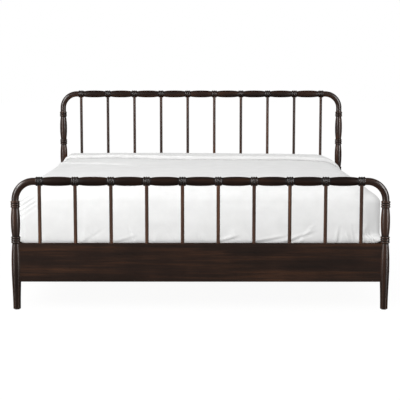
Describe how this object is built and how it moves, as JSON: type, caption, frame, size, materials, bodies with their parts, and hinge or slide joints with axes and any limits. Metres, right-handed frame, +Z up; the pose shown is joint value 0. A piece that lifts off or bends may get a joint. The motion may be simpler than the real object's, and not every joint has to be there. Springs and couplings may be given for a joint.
{
  "type": "spindle bed",
  "caption": "King-size wooden spindle bed with turned, ringed posts and rails, bent shoulders, a slatted base with levelling feet, a split foundation, a mattress and a white cover.",
  "frame": {"origin": "on the floor under the middle of the bed", "axes": "+X across the bed to the right as seen from the foot end, +Y from the foot end to the head end, +Z up"},
  "size_m": [2.0352, 2.1522, 1.1454],
  "materials": {
    "dark_wood": "satin",
    "pale_wood": "matte",
    "zinc_steel": "satin",
    "black_nylon": "matte",
    "mattress_ticking": "matte",
    "foundation_cloth": "matte",
    "white_cover": "matte"
  },
  "bodies": {
    "frame": {"beam_brackets": "zinc_steel", "bracket_screws": "zinc_steel", "centre_beam": "pale_wood", "foot_left_post": "dark_wood", "foot_left_shoulder": "dark_wood", "foot_panel": "dark_wood", "foot_right_post": "dark_wood", "foot_right_shoulder": "dark_wood", "foot_spindle_01": "dark_wood", "foot_spindle_02": "dark_wood", "foot_spindle_03": "dark_wood", "foot_spindle_04": "dark_wood", "foot_spindle_05": "dark_wood", "foot_spindle_06": "dark_wood", "foot_spindle_07": "dark_wood", "foot_spindle_08": "dark_wood", "foot_spindle_09": "dark_wood", "foot_spindle_10": "dark_wood", "foot_top_rail": "dark_wood", "front_centre_leg": "pale_wood", "head_left_post": "dark_wood", "head_left_shoulder": "dark_wood", "head_panel": "dark_wood", "head_right_post": "dark_wood", "head_right_shoulder": "dark_wood", "head_spindle_01": "dark_wood", "head_spindle_02": "dark_wood", "head_spindle_03": "dark_wood", "head_spindle_04": "dark_wood", "head_spindle_05": "dark_wood", "head_spindle_06": "dark_wood", "head_spindle_07": "dark_wood", "head_spindle_08": "dark_wood", "head_spindle_09": "dark_wood", "head_spindle_10": "dark_wood", "head_top_rail": "dark_wood", "hook_plates": "zinc_steel", "ledger_screws": "zinc_steel", "left_foundation": "foundation_cloth", "left_ledger": "pale_wood", "left_side_rail": "dark_wood", "leg_hanger_bolts": "zinc_steel", "leveller_inserts": "zinc_steel", "plate_screws": "zinc_steel", "post_glides": "black_nylon", "rear_centre_leg": "pale_wood", "receiver_plates": "zinc_steel", "right_foundation": "foundation_cloth", "right_ledger": "pale_wood", "right_side_rail": "dark_wood", "slat_screws": "zinc_steel", "slats": "pale_wood"},
    "mattress": {"mattress": "mattress_ticking", "bed_cover": "white_cover"},
    "front_leveller_pad": {"front_leveller_pad": "black_nylon"},
    "front_leveller_stud": {"front_leveller_stud": "zinc_steel"},
    "rear_leveller_pad": {"rear_leveller_pad": "black_nylon"},
    "rear_leveller_stud": {"rear_leveller_stud": "zinc_steel"}
  },
  "joints": [
    {"name": "mattress_lift", "type": "slide", "parent": "frame", "child": "mattress", "axis": [0, 0, 1], "range_m": [0, 0.83]},
    {"name": "front_pad_travel", "type": "slide", "parent": "frame", "child": "front_leveller_pad", "axis": [0, 0, 1], "range_m": [-0.0122, 0.0082]},
    {"name": "front_stud_spin", "type": "hinge", "parent": "front_leveller_pad", "child": "front_leveller_stud", "pos_m": [0, -0.18, 0.03], "axis": [0, 0, 1], "range_deg": [-2880, 1920]},
    {"name": "rear_pad_travel", "type": "slide", "parent": "frame", "child": "rear_leveller_pad", "axis": [0, 0, 1], "range_m": [-0.0122, 0.0082]},
    {"name": "rear_stud_spin", "type": "hinge", "parent": "rear_leveller_pad", "child": "rear_leveller_stud", "pos_m": [0, 0.18, 0.03], "axis": [0, 0, 1], "range_deg": [-2880, 1920]}
  ],
  "couplings": [
    {"joint": "front_pad_travel", "follows": "front_stud_spin", "m_per_rad": 0.00023873},
    {"joint": "rear_pad_travel", "follows": "rear_stud_spin", "m_per_rad": 0.00023873}
  ]
}
